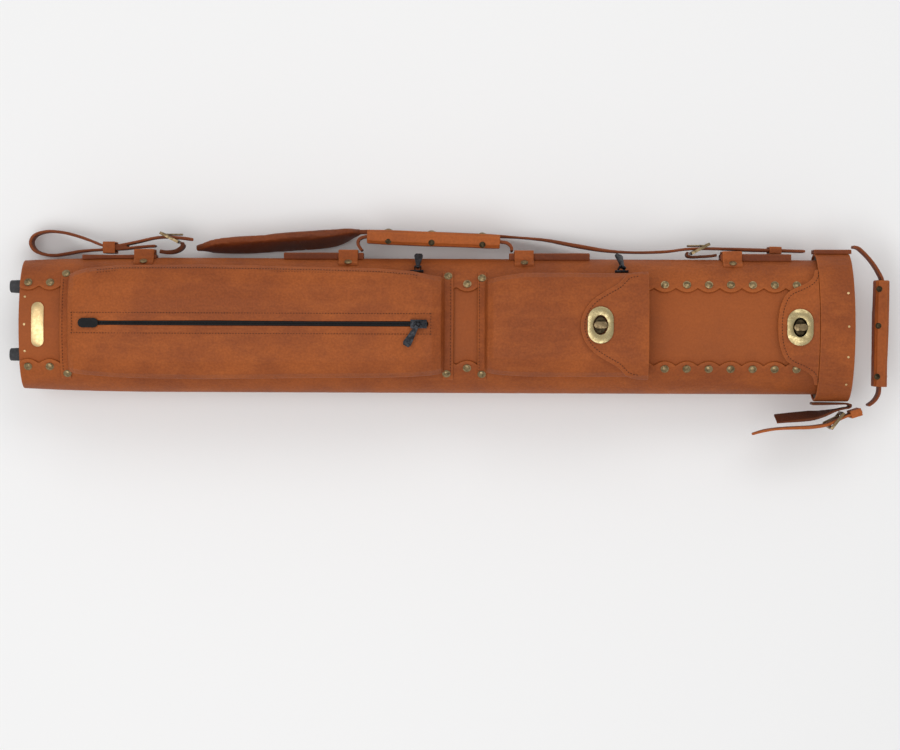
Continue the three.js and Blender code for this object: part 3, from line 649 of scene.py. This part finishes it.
# Short threads along a line, each turned along it
def stitchTree():
    tree, given, result = geometryTree(
        "stitchRow",
        [
            ("Pitch", "NodeSocketFloat", 0.0032),
            ("Length", "NodeSocketFloat", 0.0021),
            ("Thread", "NodeSocketFloat", 0.0007),
            ("Finish", "NodeSocketMaterial", None),
        ],
    )
    link = tree.links.new
    toCurve = tree.nodes.new("GeometryNodeMeshToCurve")
    link(given.outputs["Geometry"], toCurve.inputs["Mesh"])
    spaced = tree.nodes.new("GeometryNodeResampleCurve")
    spaced.mode = "LENGTH"
    link(toCurve.outputs["Curve"], spaced.inputs["Curve"])
    link(given.outputs["Pitch"], spaced.inputs["Length"])
    tangent = tree.nodes.new("GeometryNodeInputTangent")
    turn = tree.nodes.new("FunctionNodeAlignRotationToVector")
    turn.axis = "X"
    link(tangent.outputs["Tangent"], turn.inputs["Vector"])
    bead = tree.nodes.new("GeometryNodeMeshUVSphere")
    bead.inputs["Segments"].default_value = 6
    bead.inputs["Rings"].default_value = 5
    bead.inputs["Radius"].default_value = 0.5
    size = tree.nodes.new("ShaderNodeCombineXYZ")
    link(given.outputs["Length"], size.inputs["X"])
    link(given.outputs["Thread"], size.inputs["Y"])
    link(given.outputs["Thread"], size.inputs["Z"])
    place = tree.nodes.new("GeometryNodeInstanceOnPoints")
    link(spaced.outputs["Curve"], place.inputs["Points"])
    link(bead.outputs["Mesh"], place.inputs["Instance"])
    link(turn.outputs["Rotation"], place.inputs["Rotation"])
    link(size.outputs["Vector"], place.inputs["Scale"])
    real = tree.nodes.new("GeometryNodeRealizeInstances")
    link(place.outputs["Instances"], real.inputs["Geometry"])
    paint = tree.nodes.new("GeometryNodeSetMaterial")
    link(real.outputs["Geometry"], paint.inputs["Geometry"])
    link(given.outputs["Finish"], paint.inputs["Material"])
    link(paint.outputs["Geometry"], result.inputs["Geometry"])
    return tree


heads = headTree()
stitches = stitchTree()


def withNodes(made, tree, values):
    modifier = made.modifiers.new(tree.name, "NODES")
    modifier.node_group = tree
    for item in tree.interface.items_tree:
        if item.item_type == "SOCKET" and item.in_out == "INPUT" and item.name in values:
            modifier[item.identifier] = values[item.name]
    return settle(made)


# places: [(point in mm, direction)]
def studs(name, body, places, width, rise, look):
    made = meshObject(name, [at(*p) for p, d in places], [])
    facing = made.data.attributes.new("facing", "FLOAT_VECTOR", "POINT")
    facing.data.foreach_set("vector", [c for p, d in places for c in Vector(d).normalized()])
    withNodes(made, heads, {"Width": width / 1000, "Rise": rise / 1000, "Finish": look})
    smooth(made, 60)
    return dress(made, look, body, ())


def stitchLines(name, body, lines, pitch=3.2, length=2.3, gauge=0.9, look=thread):
    points = []
    edges = []
    for line in lines:
        first = len(points)
        points += [at(*p) for p in line]
        edges += [(first + i, first + i + 1) for i in range(len(line) - 1)]
    mesh = bpy.data.meshes.new(name)
    mesh.from_pydata([tuple(p) for p in points], edges, [])
    made = bpy.data.objects.new(name, mesh)
    bpy.context.scene.collection.objects.link(made)
    values = {"Pitch": pitch / 1000, "Length": length / 1000, "Thread": gauge / 1000, "Finish": look}
    withNodes(made, stitches, values)
    smooth(made, 80)
    return dress(made, look, body, ())


def outward(y, z, a=71.5, b=42.5):
    return (0, y / (a * a), (z - 50) / (b * b))


def bodyZ(x, y, inset=0.0):
    s = scaleAt(x)
    a = (tube["halfWidth"] - inset) * s
    b = (tube["halfDepth"] - inset) * s
    return 50 + b * math.sqrt(max(0.0, 1 - (y / a) ** 2))


rivetRow = []
for i in range(36):
    x = tube["firstLobe"] + tube["pitch"] * i
    hidden = -384 < x < 9 or 53 < x < 222
    for side in (1, -1):
        y = side * 44.2
        z = bodyZ(x, y)
        if not hidden and x < 396 and abs(x - 17.5) > 9 and abs(x - 48) > 5:
            rivetRow.append(((x, y, z + 0.3), outward(y, z)))
studs("scallopRivets", "case", rivetRow, 7.2, 1.5, rivetBrass)
corner = []
for x, y in ((-389.5, 53.7), (-387.5, -51.5), (13, 52.4), (11.5, -50.2), (48.5, 50.4), (48.5, -50.6)):
    z = bodyZ(x, y) + 2.6
    corner.append(((x, y, z), outward(y, z)))
studs("cornerRivets", "case", corner, 7.2, 1.5, rivetBrass)
saddleStuds = []
for x in (-309.5, -93, 93.4, 314):
    saddleStuds.append(((x, 67.5, bodyZ(x, 67.5, -2.8) + 0.2), outward(67.5, 66)))
studs("saddleRivets", "case", saddleStuds, 6.6, 1.2, rivetBrass)
brads = [((-432, y, bodyZ(-432, y, 2.9) + 0.2), outward(y, 85)) for y in (29, 0, -28)]
studs("baseBrads", "case", brads, 2.0, 0.6, plateBrass)
lidBrads = []
for y in (36, 1, -31, -60):
    lidBrads.append(((432, y, 50 + 50 * math.sqrt(1 - (y / 79) ** 2)), outward(y, 90, 79, 50)))
studs("lidBrads", "lid", lidBrads, 2.0, 0.6, plateBrass)
screwPlaces = [((-449.6, y, z), (-1, 0, 0)) for y in (40, -32) for z in (38, 62)]
studs("footScrews", "case", screwPlaces, 3.4, 0.6, rivetBrass)
print("rivets made")


def flapLine(half, middle, inset, heightAt):
    spline = []
    for x, y in half:
        spline.append(Vector((x, y, 0)))
    lower = [Vector((p.x, -p.y, 0)) for p in reversed(spline[:-1])]
    path = spline + lower
    line = []
    for i, p in enumerate(path):
        before = path[max(0, i - 1)]
        after = path[min(len(path) - 1, i + 1)]
        along = (after - before).normalized()
        side = Vector((-along.y, along.x, 0))
        q = p + side * inset
        line.append((q.x, q.y + middle, heightAt(q.x, q.y + middle)))
    return line


def refine(points, steps=6):
    out = []
    for i in range(len(points) - 1):
        p0 = Vector(points[max(0, i - 1)])
        p1 = Vector(points[i])
        p2 = Vector(points[i + 1])
        p3 = Vector(points[min(len(points) - 1, i + 2)])
        for k in range(steps):
            t = k / steps
            out.append(0.5 * (2 * p1 + (p2 - p0) * t + (2 * p0 - 5 * p1 + 4 * p2 - p3) * t * t
                              + (3 * p1 - p0 - 3 * p2 + p3) * t ** 3))
    out.append(Vector(points[-1]))
    return [tuple(p) for p in out]


tongueHalf = [(402, 61), (398.6, 60), (397.4, 55.5), (394.4, 50.4), (386.6, 45.3), (374.5, 40.1), (367.6, 35),
              (363.2, 28), (359.4, 16), (358, 0)]
flapHalf = [(221.7, 56.4), (209, 55.6), (200, 53.2), (194.5, 48.4), (189, 43.2), (175.6, 35.5), (164.5, 28.2),
            (156.6, 19.5), (151.8, 9.5), (150.3, 0)]


def tongueTop(x, y):
    t = (x - 350) / 52
    a = 75.4 + 3.6 * t
    b = 46.4 + 3.6 * t
    return 50 + b * math.sqrt(max(0.0, 1 - (y / a) ** 2)) + 0.1


# Height of a crowned top whose sides fall away at low and high
def crownedTop(y, low, high, z):
    profile = [(low, z - 16), (low + 5, z - 9), (low + 18, z - 3.2), (low + 36, z - 0.4),
               (high - 36, z - 0.4), (high - 18, z - 3.2), (high - 5, z - 9), (high, z - 16)]
    return float(np.interp(y, [p[0] for p in profile], [p[1] for p in profile]))


def flapTop(x, y):
    return crownedTop(y, -52.4 - 3.2, 56 + 3.2, 117 + 3.2) + 0.1


stitchLines("tongueStitches", "tongue", [refine(flapLine(tongueHalf, 0, 4.4, tongueTop))[6:-6]])
stitchLines("flapStitches", "flap", [refine(flapLine(flapHalf, 1, 4.4, flapTop))[6:-6]])


def pocketTop(y, low, high, z):
    return crownedTop(y, low, high, z) + 0.15


zipBox = []
for y in (12.6, -8.6):
    zipBox.append([(x, y, pocketTop(y, -55.6, 62, 118)) for x in np.linspace(-378, -6, 60)])
for x in (-378, -5):
    crown = 118 if x > -300 else 115.5
    zipBox.append([(x, y, pocketTop(y, -55.6, 62, crown)) for y in np.linspace(-8.6, 12.6, 10)])
stitchLines("zipStitches", "case", zipBox, 3.0, 2.0, 0.8)
topEdgeX = [-364, -330, -246, -125, -60, -24, -8]
topEdgeY = [59.5, 62.6, 63.2, 61.6, 59.8, 57, 53.6]
topRows = []
for drop in (3.4, 6.2):
    row = []
    for x in np.linspace(-352, -20, 70):
        row.append((x, float(np.interp(x, topEdgeX, topEdgeY)) - drop, 118 - 9.6 - (4.9 - drop) * 0.45))
    topRows.append(row)
stitchLines("pocketTopStitches", "case", topRows, 3.0, 2.0, 0.8)
seams = []
for x in (-391.4, 15.6, 45.6):
    seams.append([(x, y, bodyZ(x, y) + 2.75) for y in np.linspace(-47, 47, 40)])
stitchLines("flangeStitches", "case", seams, 3.4, 2.2, 0.75)

# Grips: three studs outside and three dark ones inside, their darkness painted shade
gripTop = (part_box("handle_grip")[1].z - shift.z) * 1000
endGripTop = (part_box("end_grip")[1].z - shift.z) * 1000
gripStuds = []
innerStuds = []
for x in (-51, -5, 49):
    y = 95 - (x + 74) * 5.2 / 142
    gripStuds.append(((x, y + 7.2, 50), (0, 1, 0.15)))
    innerStuds.append(((x, y - 4.2, gripTop), (0, 0, 1)))
studs("gripStuds", "carry_handle", gripStuds, 8.0, 2.2, buckleBrass)
studs("gripInnerStuds", "carry_handle", innerStuds, 5.6, 0.7, recessShadeBrass)
endStuds = []
endInner = []
for y in (41, 2, -52):
    x = 474.6 - (50.6 - y) * 2.4 / 113.8
    endStuds.append(((x + 7.2, y, 50), (1, 0, 0.15)))
    endInner.append(((x - 4.2, y, endGripTop), (0, 0, 1)))
studs("endGripStuds", "end_handle", endStuds, 6.6, 1.5, buckleBrass)
studs("endGripInnerStuds", "end_handle", endInner, 5.4, 0.7, recessShadeBrass)
teeth = [[(x, 1.9, 116.0) for x in np.linspace(-352, -29, 80)]]
stitchLines("faceZipTeeth", "case", teeth, 1.5, 0.9, 2.0, zipBlack)
print("stitches made")

floor = meshObject("floor", [(-6, -6, 0), (6, -6, 0), (6, 6, 0), (-6, 6, 0)], [(0, 1, 2, 3)])
paper = bpy.data.materials.new("paper")
paper.use_nodes = True
paper.node_tree.nodes["Principled BSDF"].inputs["Base Color"].default_value = (0.9, 0.9, 0.9, 1)
paper.node_tree.nodes["Principled BSDF"].inputs["Roughness"].default_value = 0.9
floor.data.materials.append(paper)


def softbox(name, place, aim, size, power):
    light = bpy.data.lights.new(name, "AREA")
    light.shape = "RECTANGLE"
    light.size, light.size_y = size
    light.energy = power
    holder = bpy.data.objects.new(name, light)
    bpy.context.scene.collection.objects.link(holder)
    holder.location = place
    holder.rotation_euler = (Vector(aim) - Vector(place)).to_track_quat("-Z", "Y").to_euler()


lighting = {"key": 33, "fill": 11, "room": 0.56}
softbox("overheadSoftbox", (-0.6, -0.6, 2.6), (0, 0, 0), (3.0, 1.6), lighting["key"])
softbox("sideSoftbox", (0.6, 1.6, 2.0), (0, 0, 0), (2.0, 1.0), lighting["fill"])
room = bpy.data.worlds.new("room")
room.use_nodes = True
room.node_tree.nodes["Background"].inputs["Color"].default_value = (1, 1, 1, 1)
room.node_tree.nodes["Background"].inputs["Strength"].default_value = lighting["room"]
bpy.context.scene.world = room
bpy.context.scene.view_settings.view_transform = "Standard"

lens = bpy.data.cameras.new("camera")
lens.sensor_width = 36
lens.lens = 93.83
lens.shift_y = -0.0545
lens.clip_end = 20
camera = bpy.data.objects.new("camera", lens)
bpy.context.scene.collection.objects.link(camera)
camera.location = at(15, 0, 2550)
camera.rotation_euler = (0, 0, 0.00403)
bpy.context.scene.camera = camera

print("scene ready")
